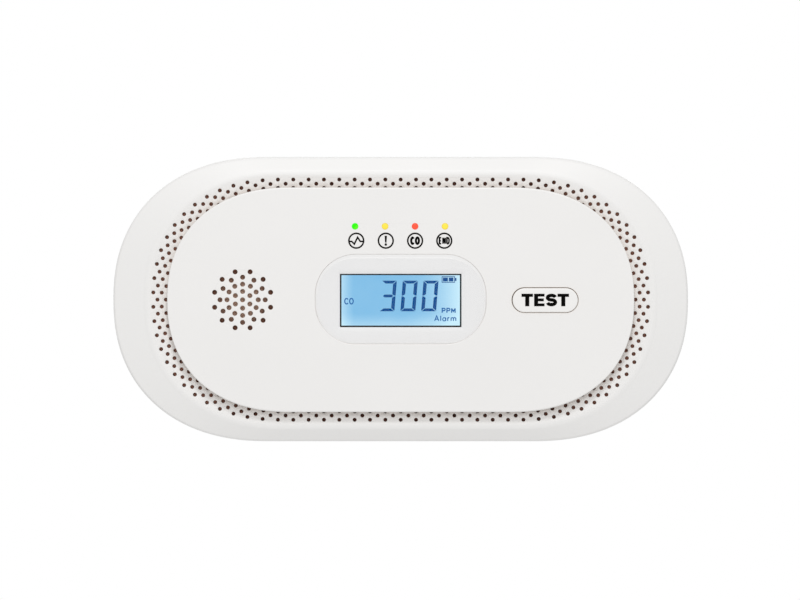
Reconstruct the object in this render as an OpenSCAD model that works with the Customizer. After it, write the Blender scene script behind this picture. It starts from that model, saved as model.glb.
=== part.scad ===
// Carbon monoxide detector, wall mounted, powered by three AA cells.
// Every sub-part is modelled lying on its back, x to the right, y to the top and
// z away from the wall, and upright() then stands it up: front towards -Y, top towards +Z.
// Origin: centre of the back face, midway between the two wall keyholes.

/* [Housing] */
// Width of the housing
body_len = 151.2; // [150:0.2:156]
// Height of the housing
body_wid = 74.7; // [74:0.1:78]
// Depth from the wall to the crown of the button
body_depth = 36; // [36:0.5:40]
// Length of the straight stretch of the outline, from the middle
body_straight = 34.8; // [33:0.2:36]
// Power of the end curves, where 2 is an ellipse
end_power = 2.26; // [2.2:0.01:2.35]
// Wall thickness of both shells
wall = 2; // [1.8:0.1:2.1]
// Height of the parting line above the wall
parting_z = 14; // [13:0.5:15]

/* [Face plate] */
// Width of the face plate
plate_len = 122.4; // [121.6:0.2:124]
// Height of the face plate
plate_wid = 59; // [58:0.2:59.4]
// Height of the plate's front above the channel floor
plate_rise = 2.7; // [2.5:0.1:3]

/* [Vents and grille] */
// Diameter of the vent holes in the channel
vent_d = 1; // [0.8:0.02:1.06]
// Distance between vent holes along the long sides
vent_pitch = 4.03; // [3.9:0.01:4.2]
// Holes in a quarter of a vent row, from the middle of a long side to the middle of an end
vent_count = 21.5; // [19.5:1:21.5]
// Distance between vent rows
vent_row_gap = 1.11; // [1.08:0.01:1.16]
// Centre of the speaker grille, left of the middle
grille_x = -41.5; // [-42:0.1:-40]
// Diameter of the grille holes
grille_d = 1.2; // [1:0.02:1.3]

/* [Display] */
// Width of the clear lens
lens_len = 44.9; // [44:0.1:46]
// Height of the clear lens
lens_wid = 23.6; // [23.4:0.1:24]
// Width of the window behind the lens
window_len = 31.9; // [30:0.1:32.5]
// Height of the window behind the lens
window_wid = 14; // [12:0.1:14.4]
// Height of the lens's centre above the middle
lens_y = 0.2; // [0:0.1:0.3]
// Height of the window's centre above the middle
window_y = -0.2; // [-0.3:0.1:0]

/* [Indicators] */
// Distance between indicator lights
light_pitch = 7.87; // [7.5:0.01:8.2]
// Height of the indicator lights above the middle
light_y = 19.3; // [18.8:0.1:20]
// Diameter of an indicator light
light_d = 1.7; // [1.5:0.1:2]

/* [Button] */
// Distance of the button's centre from the middle
button_x = 37.95; // [37:0.05:39]
// Width of the button
button_len = 17.2; // [16:0.1:18]
// Height of the button
button_wid = 6.1; // [5.5:0.1:6.5]
// Height of the button's crown over the face plate
button_proud = 0.4; // [0.2:0.1:0.6]
// Travel of the button
button_travel = 0.6; // [0.4:0.1:0.8]

/* [Batteries] */
// Diameter of an AA cell
cell_d = 14.5; // [14:0.1:14.5]
// Length of an AA cell with its nub
cell_len = 50.5; // [49.5:0.1:50.5]

/* [Wall fixing] */
// Distance between the two keyholes
keyhole_pitch = 90; // [86:1:94]
// Diameter of a keyhole's entry
keyhole_d = 8; // [7:0.5:8.5]
// Width of a keyhole's slot
slot_w = 4.2; // [3.8:0.1:4.6]
// Rise of a keyhole's slot above its entry
slot_rise = 7; // [6:0.5:8]

/* [Hidden] */
$fn = 48;

// Outline points per quarter
arc_steps = 18;
// Room to run a cutter past a face
over = 1;

// Heights above the wall
plate_z = body_depth - button_proud;
floor_z = plate_z - plate_rise;
skin = 2.2;
skin_z = plate_z - skin;
deck_z = floor_z - wall;
crest_z = floor_z + 0.1;
edge_z = crest_z - 2.25;
board_t = 1.6;
board_z = 20;
board_top = board_z + board_t;

// First vent row, and the crest and deck edge outside it
vent_len = plate_len + 7.6;
vent_wid = plate_wid + 4.1;
vent_straight = body_straight - 4;
vent_power = end_power + 0.02;
deck_edge = 1;
crest_edge = 1.8;
lip_gap = 0.15;
lip_t = 1.2;
lip_rise = 2;

// Battery compartment
cell_gap = 0.3;
cell_r = cell_d / 2;
cell_pitch = cell_d + cell_gap;
spring_len = 7.5;
contact_t = 0.4;
bay_len = cell_len + spring_len + 2 * contact_t;
bay_wid = 3 * cell_pitch + cell_gap;
door_t = 1.6;
bay_z = door_t + cell_d + 1;
cell_z = door_t + 0.5 + cell_r;
bay_wall = 1.5;
bay_ledge = 1;
door_gap = 0.3;
door_len = bay_len + 2 * (bay_ledge - door_gap);
door_wid = bay_wid + 2 * (bay_ledge - door_gap);
pin_r = 0.9;
pin_len = 1.4;
pin_play = 0.06;
hinge_y = door_wid / 2 - door_t;
latch_len = 12;
label_len = 44;
label_wid = 28;
label_y = -2;
lead_z = 15;
lead_y = cell_pitch + 5;
lead_r = 0.6;

// Screws
boss_x = 51;
boss_y = 15.3;
boss_d = 7;
boss_z = 12;
boss_hole_r = 1.25;
head_z = 9;
head_hole_r = 3.1;
board_screw_x = 39.5;
board_screw_y = 19.5;
pillar_r = 2.6;
pillar_hole_r = 0.95;

// Posts of the face plate
post_x = 24;
post_y = 21;
post_r = 1.5;

// Display stack
recess = 1.3;
lens_t = 0.5;
lens_corner_r = 10.7;
window_corner_r = 0.2;
seal_t = 0.5;
glass_t = 1.9;
glass_len = window_len + 5;
glass_wid = window_wid + 5;
glass_top = skin_z - seal_t;
glass_z = glass_top - glass_t;
frame_wall = 1.2;
frame_len = glass_len + 0.4 + 2 * frame_wall;
frame_wid = glass_wid + 0.4 + 2 * frame_wall;
strip_t = 1.8;

// Button stack
switch_size = 6;
switch_t = 3.5;
plunger_top = 27;
flange_t = 1;
flange_out = 1.3;
flange_top = skin_z - 0.05;

screen_t = 0.2;
light_x = [for (i = [0:3]) -0.17 + (i - 1.5) * light_pitch];
sensor_x = 49.5;
sensor_y = 0;
sensor_r = 7;
sensor_t = 6.5;
sounder_r = 13.8;
sound_opening_r = 10.5;
gasket_t = 0.7;
board_len = 112;
board_wid = 46;
parts_y = -17.5;

white = [0.93, 0.93, 0.92];
board_green = [0.10, 0.32, 0.18];
black = [0.07, 0.07, 0.08];
steel = [0.75, 0.75, 0.74];
nickel = [0.80, 0.78, 0.72];

// ---- Outline curves ----

// One quarter of an oval: superellipse end on a straight stretch
function quarter(len, wid, straight, power) = [for (i = [0:arc_steps])
    let (t = 90 * i / arc_steps)
    [straight + (len / 2 - straight) * pow(cos(t), 2 / power), wid / 2 * pow(sin(t), 2 / power)]];

function flip(points, sx, sy) = [for (p = points) [p.x * sx, p.y * sy]];
function reversed(points, from, to) = [for (i = [from:-1:to]) points[i]];

// Whole oval, anticlockwise from the right end
function oval(len, wid, straight, power) =
    let (q = quarter(len, wid, straight, power), n = arc_steps)
    concat(q, flip(reversed(q, n, 0), -1, 1), flip([for (i = [1:n]) q[i]], -1, -1),
        flip(reversed(q, n, 1), 1, -1));

function at_height(points, z) = [for (p = points) [p.x, p.y, z]];
function body_oval(inset) = oval(body_len - 2 * inset, body_wid - 2 * inset, body_straight, end_power);
function plate_oval(inset) =
    oval(plate_len - 2 * inset, plate_wid - 2 * inset, vent_straight - 2, end_power);
function vent_oval(outset) =
    oval(vent_len + 2 * outset, vent_wid + 2 * outset, vent_straight, vent_power);

// ---- Vent rows ----

// Distance along the first row's end curve at each step, as [distance, angle] pairs
fine = 90;
function end_point(t) = [vent_straight + (vent_len / 2 - vent_straight) * pow(cos(t), 2 / vent_power),
    vent_wid / 2 * pow(sin(t), 2 / vent_power)];
function end_normal(t) =
    let (a = vent_len / 2 - vent_straight, b = vent_wid / 2, c = pow(cos(t), 2 / vent_power),
        s = pow(sin(t), 2 / vent_power),
        n = [pow(c, vent_power - 1) / a, pow(s, vent_power - 1) / b])
    n / norm(n);
travel_table = [for (i = 0, d = 0; i <= fine;
    d = d + (i < fine ? norm(end_point(90 - i - 1) - end_point(90 - i)) : 0), i = i + 1) [d, 90 - i]];
quarter_travel = vent_straight + travel_table[fine][0];
side_holes = 10;
end_pitch = (quarter_travel - side_holes * vent_pitch) / (vent_count - side_holes);

// Distance of a hole along the first row, from its number: a little closer together round the end
function hole_travel(k) = vent_pitch * min(k, side_holes) + end_pitch * max(0, k - side_holes);

// A hole centre, from its distance along the first row and its row's inset
function vent_at(d, inset) = d <= vent_straight
    ? [d, vent_wid / 2 - inset]
    : let (t = lookup(d - vent_straight, travel_table)) end_point(t) - inset * end_normal(t);

function plate_reach(p) = let (half = vent_straight - 2)
    pow(max(0, abs(p.x) - half) / (plate_len / 2 - half), end_power)
        + pow(abs(p.y) / (plate_wid / 2), end_power);

// Rows lie half a pitch apart, and run in under the plate's edge
vent_rows = 4;
vent_quarter = [for (row = [0:vent_rows - 1], k = [0:floor(vent_count)])
    let (p = vent_at(hole_travel(k + (row % 2) / 2), row * vent_row_gap))
    if (plate_reach(p) > 0.96) p];
vent_points = [for (sx = [1, -1], sy = [1, -1], p = vent_quarter)
    if ((sx > 0 || p.x > 0.1) && (sy > 0 || p.y > 0.1)) [p.x * sx, p.y * sy]];

// Speaker grille: a centre hole and rings of [holes, radius, first angle]
grille_rings = [[6, 2.2, 30], [12, 4.1, 0], [12, 5.93, 0], [12, 7.6, 15]];
grille_points = concat([[0, 0]], [for (ring = grille_rings, i = [0:ring[0] - 1])
    ring[1] * [cos(ring[2] + i * 360 / ring[0]), sin(ring[2] + i * 360 / ring[0])]]);

// ---- Shapes ----

module upright() rotate([90, 0, 0]) children();

module at_corners(x, y) for (sx = [-1, 1], sy = [-1, 1]) translate([sx * x, sy * y, 0]) children();

module slab(z, height) translate([0, 0, z]) linear_extrude(height) children();

module tube(z, height, outer_r, inner_r)
    slab(z, height) difference() {
        circle(outer_r);
        circle(inner_r);
    }

// Racetrack with straight top and bottom
module racetrack(len, wid) {
    square([len - wid, wid], center = true);
    for (side = [-1, 1]) translate([side * (len - wid) / 2, 0]) circle(wid / 2);
}

// Rectangle with round corners, with true arcs
module round_rect(len, wid, r) {
    square([len - 2 * r, wid], center = true);
    square([len, wid - 2 * r], center = true);
    for (sx = [-1, 1], sy = [-1, 1]) translate([sx * (len / 2 - r), sy * (wid / 2 - r)]) circle(r);
}

// Lens outline: wide racetrack whose corners are rounder than its ends
module lens_shape(grow) translate([0, lens_y])
    round_rect(lens_len + 2 * grow, lens_wid + 2 * grow, lens_corner_r + grow);

// Window behind the lens
module window_shape(grow, r) translate([0, window_y])
    round_rect(window_len + 2 * grow, window_wid + 2 * grow, r);

// Closed ring lofted through a loop of outlines, each with the same number of points
module ring_loft(loops) {
    n = len(loops[0]);
    m = len(loops);
    polyhedron(points = [for (l = loops, p = l) p],
        faces = [for (i = [0:m - 1], j = [0:n - 1])
            let (a = i * n + j, b = i * n + (j + 1) % n,
                c = (i + 1) % m * n + (j + 1) % n, d = (i + 1) % m * n + j)
            each [[a, c, b], [a, d, c]]]);
}

// Round wire swept through a list of points, closed at both ends
module wire(path, r, sides) {
    n = len(path);
    polyhedron(points = [for (i = [0:n - 1])
            let (t = path[min(i + 1, n - 1)] - path[max(i - 1, 0)],
                u = cross([1, 0, 0], t) / norm(cross([1, 0, 0], t)),
                v = cross(t / norm(t), u))
            for (k = [0:sides - 1]) path[i] + r * (cos(360 * k / sides) * u + sin(360 * k / sides) * v)],
        faces = concat([[for (k = [0:sides - 1]) k]],
            [[for (k = [sides - 1:-1:0]) (n - 1) * sides + k]],
            [for (i = [0:n - 2], k = [0:sides - 1])
                let (a = i * sides + k, b = i * sides + (k + 1) % sides)
                each [[a, a + sides, b], [b, a + sides, b + sides]]]));
}

// ---- Front cover ----

module deck_openings() {
    for (p = vent_points) translate(p) circle(d = vent_d, $fn = 16);
    translate([grille_x, 0]) circle(sound_opening_r);
    translate([0, window_y]) square([frame_len + 0.8, frame_wid + 0.8], center = true);
    for (x = light_x) translate([x, light_y]) circle(d = light_d + 0.2);
    translate([button_x, 0])
        racetrack(button_len + 2 * flange_out + 0.8, button_wid + 2 * flange_out + 0.8);
    for (sx = [-1, 1], sy = [-1, 1]) translate([sx * post_x, sy * post_y]) circle(post_r + 0.1);
}

module front_cover() {
    inner = wall + 0.1;
    color(white) upright() union() {
        ring_loft([
            at_height(body_oval(0), parting_z),
            at_height(body_oval(0.05), (parting_z + edge_z) / 2),
            at_height(body_oval(0.1), edge_z - 0.6),
            at_height(body_oval(0.35), edge_z),
            at_height(body_oval(0.9), edge_z + 0.4),
            at_height(vent_oval(crest_edge + 0.6), crest_z - 0.25),
            at_height(vent_oval(crest_edge), crest_z),
            at_height(vent_oval(crest_edge - 0.5), crest_z - 0.05),
            at_height(vent_oval(deck_edge), floor_z),
            at_height(vent_oval(deck_edge), deck_z),
            at_height(body_oval(inner + 1.4), edge_z - 2.2),
            at_height(body_oval(inner), edge_z - 3.4),
            at_height(body_oval(inner), parting_z)]);
        slab(deck_z, wall) difference() {
            polygon(vent_oval(deck_edge));
            deck_openings();
        }
        at_corners(boss_x, boss_y) tube(boss_z, deck_z - boss_z, boss_d / 2, boss_hole_r);
        at_corners(board_screw_x, board_screw_y)
            tube(board_top, deck_z - board_top, pillar_r, pillar_hole_r);
    }
}

// ---- Face plate and display ----

module plate_openings() {
    for (p = grille_points) translate([grille_x + p.x, p.y]) circle(d = grille_d, $fn = 20);
    for (x = light_x) translate([x, light_y]) circle(d = light_d + 0.1);
    translate([button_x, 0]) racetrack(button_len + 0.6, button_wid + 0.6);
}

module face_plate() {
    rim = 2.4;
    pocket_gap = 0.08;
    rib_out = 3.2;
    rib_in = 6;
    post_end = deck_z - 0.6;
    color(white) upright() union() {
        ring_loft([
            at_height(plate_oval(0.3), skin_z),
            at_height(plate_oval(0), skin_z + 0.3),
            at_height(plate_oval(0), plate_z - 0.8),
            at_height(plate_oval(0.23), plate_z - 0.23),
            at_height(plate_oval(0.8), plate_z),
            at_height(plate_oval(rim), plate_z),
            at_height(plate_oval(rim), skin_z)]);
        slab(plate_z - recess, recess) difference() {
            polygon(plate_oval(rim));
            plate_openings();
            lens_shape(pocket_gap);
        }
        slab(skin_z, skin - recess) difference() {
            polygon(plate_oval(rim));
            plate_openings();
            window_shape(0, window_corner_r);
        }
        slab(floor_z, skin_z - floor_z) difference() {
            polygon(plate_oval(rib_out));
            polygon(plate_oval(rib_in));
        }
        at_corners(post_x, post_y) translate([0, 0, post_end])
            cylinder(h = skin_z - post_end, r = post_r);
    }
}

module display_lens() {
    color([0.9, 0.95, 1, 0.4]) upright()
        slab(plate_z - lens_t, lens_t) lens_shape(0);
}

module lens_adhesive() {
    inset = 0.1;
    color([0.9, 0.9, 0.9]) upright() slab(plate_z - recess, recess - lens_t) difference() {
        lens_shape(-inset);
        window_shape(0.5, 1);
    }
}

module lcd_seal() {
    border = 0.45;
    corner_r = 0.8;
    color(black) upright() slab(skin_z - seal_t, seal_t) difference() {
        translate([0, window_y]) round_rect(glass_len - 0.6, glass_wid - 0.6, corner_r);
        window_shape(-border, window_corner_r / 2);
    }
}

module lcd_glass() {
    polariser = 0.2;
    ledge = 2.2;
    color([0.55, 0.8, 0.95]) upright() translate([0, window_y, 0]) union() {
        slab(glass_z, glass_t / 2) square([glass_len, glass_wid], center = true);
        translate([0, ledge / 2, 0]) slab(glass_z + glass_t / 2, glass_t / 2 - polariser)
            square([glass_len, glass_wid - ledge], center = true);
        translate([0, ledge / 2, 0]) slab(glass_top - polariser, polariser)
            square([glass_len - 1, glass_wid - ledge - 1], center = true);
    }
}

module lcd_backlight() {
    thick = 3;
    tab_len = 2.5;
    tab_wid = 5;
    low = glass_z - thick - 0.05;
    color([0.85, 0.93, 1]) upright() translate([0, window_y, 0]) {
        translate([0, strip_t / 2 + 0.3, 0]) slab(low, thick)
            square([glass_len - 1, glass_wid - strip_t - 1], center = true);
        translate([glass_len / 2 - 0.5 - tab_len, -tab_wid / 2, board_top])
            cube([tab_len, tab_wid, low - board_top]);
    }
}

module lcd_frame() {
    corner_r = 1.5;
    color([0.85, 0.85, 0.83]) upright() translate([0, window_y, 0]) difference() {
        slab(board_top, glass_top - 0.1 - board_top) round_rect(frame_len, frame_wid, corner_r);
        slab(board_top - over, plate_z) square([glass_len + 0.3, glass_wid + 0.3], center = true);
    }
}

module lcd_connector() {
    color([0.2, 0.2, 0.22]) upright()
        translate([-glass_len / 2 + 1, window_y - glass_wid / 2 + 0.05, board_top])
            cube([glass_len - 2, strip_t, glass_z - board_top]);
}

// ---- Insect screens behind the vents and the grille ----

module vent_screen() {
    outset = 0.4;
    inset = 1.6;
    color([0.2, 0.12, 0.09]) upright() slab(deck_z - screen_t, screen_t) difference() {
        polygon(vent_oval(outset));
        polygon(plate_oval(inset));
    }
}

module grille_screen() {
    screen_r = 9.6;
    color([0.3, 0.22, 0.18]) upright() translate([grille_x, 0, 0])
        slab(skin_z - screen_t, screen_t) circle(screen_r);
}

// ---- Button and its switch ----

module test_button() {
    edge = 0.35;
    stem_r = 2;
    color(white) upright() translate([button_x, 0, 0]) {
        slab(flange_top - over, plate_z + button_proud - edge - flange_top + over)
            racetrack(button_len, button_wid);
        slab(plate_z + button_proud - edge, edge) racetrack(button_len - 2 * edge, button_wid - 2 * edge);
        slab(flange_top - flange_t, flange_t)
            racetrack(button_len + 2 * flange_out, button_wid + 2 * flange_out);
        translate([0, 0, plunger_top]) cylinder(h = flange_top - flange_t - plunger_top, r = stem_r);
    }
}

module tact_switch() {
    bore_r = 1.75;
    color(black) upright() translate([button_x, 0, 0]) difference() {
        slab(board_top, switch_t) square(switch_size, center = true);
        slab(board_top + 1, switch_t) circle(bore_r);
    }
}

module tact_plunger() {
    plunger_r = 1.7;
    foot = board_top + 1 + button_travel + 0.2;
    color([0.2, 0.2, 0.2]) upright() translate([button_x, 0, foot])
        cylinder(h = plunger_top - foot, r = plunger_r);
}

// ---- Indicators ----

module light_pipe(i) {
    foot = board_top + 1.8;
    collar_r = 1.6;
    collar_t = 1;
    upright() translate([light_x[i], light_y, 0]) {
        translate([0, 0, foot]) cylinder(h = plate_z - foot, d = light_d);
        translate([0, 0, deck_z - collar_t - 0.05]) cylinder(h = collar_t, r = collar_r);
    }
}

module led(i) {
    body_t = 0.7;
    dome_t = 0.7;
    upright() translate([light_x[i], light_y, 0]) {
        slab(board_top, body_t) square([3, 2.4], center = true);
        slab(board_top + body_t, dome_t) square([2.2, 1.8], center = true);
    }
}

module light_pipe_power() { color([0.4, 1, 0.1]) light_pipe(0); }
module light_pipe_fault() { color([1, 0.92, 0.3]) light_pipe(1); }
module light_pipe_alarm() { color([1, 0.39, 0.3]) light_pipe(2); }
module light_pipe_end() { color([1, 0.92, 0.3]) light_pipe(3); }
module led_power() { color([0.4, 0.9, 0.3]) led(0); }
module led_fault() { color([0.95, 0.85, 0.3]) led(1); }
module led_alarm() { color([0.9, 0.3, 0.2]) led(2); }
module led_end() { color([0.95, 0.85, 0.3]) led(3); }

// ---- Board and its components ----

module main_board() {
    corner_r = 2;
    screw_hole_r = 1.2;
    color(board_green) upright() slab(board_z, board_t) difference() {
        round_rect(board_len, board_wid, corner_r);
        for (sx = [-1, 1], sy = [-1, 1]) {
            translate([sx * board_screw_x, sy * board_screw_y]) circle(screw_hole_r);
            translate([sx * boss_x, sy * boss_y]) circle(boss_d / 2 + 0.5);
        }
    }
}

module microcontroller() {
    chip = 9;
    chip_t = 1.3;
    leg_pitch = 0.9;
    leg_wid = 0.3;
    color(black) upright() translate([27, -15.5, 0]) {
        slab(board_top + 0.1, chip_t) square(chip, center = true);
        for (turn = [0:90:270], k = [-4:4]) rotate(turn)
            translate([chip / 2, k * leg_pitch - leg_wid / 2, board_top]) cube([1, leg_wid, 0.5]);
    }
}

module inductor() {
    flange_r = 4;
    core_r = 3.2;
    core_t = 3.6;
    color([0.15, 0.15, 0.16]) upright() translate([-12, parts_y, board_top]) {
        cylinder(h = 1.2, r = flange_r);
        translate([0, 0, 1.2]) cylinder(h = core_t, r = core_r);
        translate([0, 0, 1.2 + core_t]) cylinder(h = 1.2, r = flange_r);
    }
}

module capacitors() {
    can_r = 3.15;
    can_t = 6.6;
    pitch = 8.5;
    color([0.15, 0.2, 0.35]) upright() for (x = [0, pitch]) translate([x, parts_y, board_top]) {
        cylinder(h = can_t, r = can_r);
        translate([0, 0, can_t]) cylinder(h = 0.4, r = can_r - 0.45);
    }
}

module co_sensor() {
    color([0.8, 0.8, 0.78]) upright() translate([sensor_x, sensor_y, board_top])
        difference() {
            cylinder(h = sensor_t, r = sensor_r);
            translate([0, 0, sensor_t - 1]) cylinder(h = 2, r = sensor_r - 2);
        }
}

module sensor_filter_cap() {
    cap_t = 1.6;
    hole_r = 0.7;
    color([0.25, 0.25, 0.27]) upright() translate([sensor_x, sensor_y, board_top + sensor_t])
        difference() {
            cylinder(h = cap_t, r = sensor_r);
            for (a = [0:60:300]) rotate(a) translate([3, 0, -over])
                cylinder(h = cap_t + 2 * over, r = hole_r);
            translate([0, 0, -over]) cylinder(h = cap_t + 2 * over, r = hole_r);
        }
}

// ---- Sounder ----

module sounder_housing() {
    cup = 1.2;
    centre_hole_r = 1.6;
    ring_hole_r = 1.1;
    top = deck_z - gasket_t;
    color([0.45, 0.38, 0.34]) upright() translate([grille_x, 0, 0]) difference() {
        translate([0, 0, board_top]) cylinder(h = top - board_top, r = sounder_r);
        translate([0, 0, board_top - over]) cylinder(h = top - cup - board_top + over, r = sounder_r - cup);
        translate([0, 0, board_top]) cylinder(h = top, r = centre_hole_r);
        for (a = [0:60:300]) rotate(a) translate([6.2, 0, board_top])
            cylinder(h = top, r = ring_hole_r);
    }
}

module piezo_disc() {
    disc_t = 0.3;
    disc_z = board_top + 3;
    color([0.75, 0.6, 0.3]) upright() translate([grille_x, 0, 0]) {
        translate([0, 0, disc_z]) cylinder(h = disc_t, r = 12.5);
        translate([0, 0, disc_z + disc_t]) cylinder(h = 0.25, r = 9);
    }
}

module sounder_gasket() {
    color([0.2, 0.2, 0.2]) upright() translate([grille_x, 0, 0])
        tube(deck_z - gasket_t, gasket_t, sounder_r - 0.2, 11);
}

// ---- Rear cover ----

module keyholes() {
    for (side = [-1, 1]) translate([side * keyhole_pitch / 2, 0, -over]) {
        cylinder(h = wall + 2 * over, d = keyhole_d);
        translate([-slot_w / 2, 0, 0]) cube([slot_w, slot_rise, wall + 2 * over]);
        translate([0, slot_rise, 0]) cylinder(h = wall + 2 * over, d = slot_w);
    }
}

module rear_cover() {
    outer_len = bay_len + 2 * (bay_wall + bay_ledge);
    outer_wid = bay_wid + 2 * (bay_wall + bay_ledge);
    block_x = bay_len / 2 + bay_ledge;
    block = 3.2;
    notch = 2.2;
    tray_t = 4.6;
    lead_x = bay_len / 2 + bay_wall / 2;
    lip_out = wall + 0.1 + lip_gap;
    color(white) upright() union() {
        ring_loft([
            at_height(body_oval(5.5), 0),
            at_height(body_oval(3.3), 0.3),
            at_height(body_oval(2.2), 1.1),
            at_height(body_oval(1.7), 2.4),
            at_height(body_oval(0.8), 8),
            at_height(body_oval(0.35), parting_z),
            at_height(body_oval(lip_out), parting_z),
            at_height(body_oval(lip_out), parting_z + lip_rise),
            at_height(body_oval(lip_out + lip_t), parting_z + lip_rise),
            at_height(body_oval(lip_out + lip_t), parting_z - 2),
            at_height(body_oval(wall + 1), 8),
            at_height(body_oval(wall + 1.9), 3),
            at_height(body_oval(5.5), wall)]);
        difference() {
            union() {
                slab(0, wall) polygon(body_oval(5.5));
                translate([-outer_len / 2, -outer_wid / 2, 0]) cube([outer_len, outer_wid, tray_t]);
                slab(4, bay_z + bay_wall - 4)
                    square([bay_len + 2 * bay_wall, bay_wid + 2 * bay_wall], center = true);
                for (side = [-1, 1]) translate([side * (block_x + block / 2), hinge_y, tray_t / 2])
                    cube([block, 6, tray_t], center = true);
                translate([-latch_len / 2 - 2.5, -outer_wid / 2 - notch, 0])
                    cube([latch_len + 5, notch + 1, tray_t]);
                at_corners(boss_x, boss_y) cylinder(h = boss_z, d = boss_d + 0.6);
            }
            slab(-over, bay_z + over) square([bay_len, bay_wid], center = true);
            slab(-over, door_t + 0.2 + over)
                square([bay_len + 2 * bay_ledge, bay_wid + 2 * bay_ledge], center = true);
            translate([0, hinge_y, door_t]) rotate([0, 90, 0])
                cylinder(h = bay_len + 2 * bay_ledge, r = door_t + 0.25, center = true);
            translate([0, hinge_y, door_t]) rotate([0, 90, 0])
                cylinder(h = door_len + 2 * pin_len + 0.6, r = pin_r + pin_play, center = true);
            translate([-latch_len / 2 - 1, -bay_wid / 2 - bay_ledge - notch, -over])
                cube([latch_len + 2, 4, door_t + 0.8 + over]);
            at_corners(boss_x, boss_y) translate([0, 0, -over]) cylinder(h = head_z + over, r = head_hole_r);
            at_corners(boss_x, boss_y) cylinder(h = boss_z + over, r = 1.6);
            keyholes();
            for (side = [-1, 1])
                translate([side * lead_x, side * lead_y, lead_z])
                    rotate([0, 90, 0]) cylinder(h = bay_wall + 2, r = lead_r + 0.15, center = true);
        }
    }
}

// ---- Battery door ----

module battery_door() {
    latch_out = 1.6;
    pocket = 0.2;
    color(white) upright() difference() {
        union() {
            translate([-door_len / 2, -door_wid / 2, 0]) cube([door_len, hinge_y + door_wid / 2, door_t]);
            translate([0, hinge_y, door_t]) rotate([0, 90, 0])
                cylinder(h = door_len, r = door_t, center = true);
            translate([0, hinge_y, door_t]) rotate([0, 90, 0])
                cylinder(h = door_len + 2 * pin_len, r = pin_r, center = true);
            translate([-latch_len / 2, -door_wid / 2 - latch_out, 0]) cube([latch_len, 3, door_t]);
        }
        translate([0, label_y, 0]) slab(-over, over + pocket)
            square([label_len, label_wid], center = true);
    }
}

module rating_label() {
    color([0.88, 0.88, 0.86]) upright() translate([0, label_y, 0]) slab(0.05, 0.14)
        square([label_len - 0.4, label_wid - 0.4], center = true);
}

// ---- Cells, contacts and leads ----

// Cell lying along x, its nub towards side
module cell(row, side) {
    nub = 1;
    nub_r = 2.7;
    tip = bay_len / 2 - contact_t;
    color([0.2, 0.3, 0.5]) upright() translate([side * tip, row * cell_pitch, cell_z])
        rotate([0, -90 * side, 0]) {
            translate([0, 0, nub]) cylinder(h = cell_len - nub - 0.02, r = cell_r);
            translate([0, 0, 0.02]) cylinder(h = nub - 0.02, r = nub_r);
        }
}

module battery_1() { cell(1, 1); }
module battery_2() { cell(0, -1); }
module battery_3() { cell(-1, 1); }

// Conical coil between a cell's flat end and its contact plate
module contact_spring(row, side) {
    turns = 3.5;
    per_turn = 16;
    wire_r = 0.35;
    wide_r = 4;
    narrow_r = 2.4;
    start = bay_len / 2 - contact_t - wire_r - 0.03;
    span = spring_len - 2 * wire_r - 0.06;
    steps = turns * per_turn;
    path = [for (i = [0:steps]) let (f = i / steps, a = 360 * i / per_turn, r = wide_r + (narrow_r - wide_r) * f)
        [side * (start - span * f), row * cell_pitch + r * cos(a), cell_z + r * sin(a)]];
    wire(path, wire_r, 6);
}

module contact_springs() {
    color(nickel) upright() {
        contact_spring(1, -1);
        contact_spring(0, 1);
        contact_spring(-1, -1);
    }
}

// Plates on the end walls: two linking plates and two single ones
module contact_plate(side, from_row, to_row) {
    half = 5.5;
    low = min(from_row, to_row) * cell_pitch - half;
    high = max(from_row, to_row) * cell_pitch + half;
    x = side > 0 ? bay_len / 2 - contact_t : -bay_len / 2;
    translate([x, low, 4]) cube([contact_t, high - low, 12]);
}

module contact_plates() {
    color(steel) upright() {
        contact_plate(-1, 0, 1);
        contact_plate(-1, -1, -1);
        contact_plate(1, -1, 0);
        contact_plate(1, 1, 1);
    }
}

// Lead from a single contact plate, out through the bay wall and up to the board
module battery_lead(side) {
    r = lead_r;
    bend = 2;
    reach = bay_wall + 2;
    translate([side * bay_len / 2, side * lead_y, lead_z]) {
        rotate([0, 90 * side, 0]) cylinder(h = reach, r = r);
        translate([side * reach, 0, bend]) rotate([90, 0, 0]) rotate([0, 0, side > 0 ? -90 : 180])
            rotate_extrude(angle = 90) translate([bend, 0]) circle(r);
        translate([side * (reach + bend), 0, bend]) cylinder(h = board_z - lead_z - bend, r = r);
    }
}

module battery_leads() {
    color([0.7, 0.1, 0.1]) upright() for (side = [-1, 1]) battery_lead(side);
}

// ---- Screws ----

// Pan head screw, head down, with a cross recess; z is the underside of its head
module screw(z, head_r, head_t, shank_r, length) {
    slot = head_r * 0.28;
    difference() {
        union() {
            translate([0, 0, z - head_t]) cylinder(h = head_t, r = head_r);
            translate([0, 0, z]) cylinder(h = length, r = shank_r);
        }
        for (turn = [0, 90]) rotate(turn)
            translate([-head_r * 0.6, -slot / 2, z - head_t - over])
                cube([head_r * 1.2, slot, over + head_t * 0.6]);
    }
}

module cover_screws() {
    color(steel) upright() at_corners(boss_x, boss_y) screw(head_z, 2.75, 2, 1.22, 13);
}

module board_screws() {
    color(steel) upright() at_corners(board_screw_x, board_screw_y) screw(board_z, 2, 1.2, 0.92, 7);
}

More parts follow.
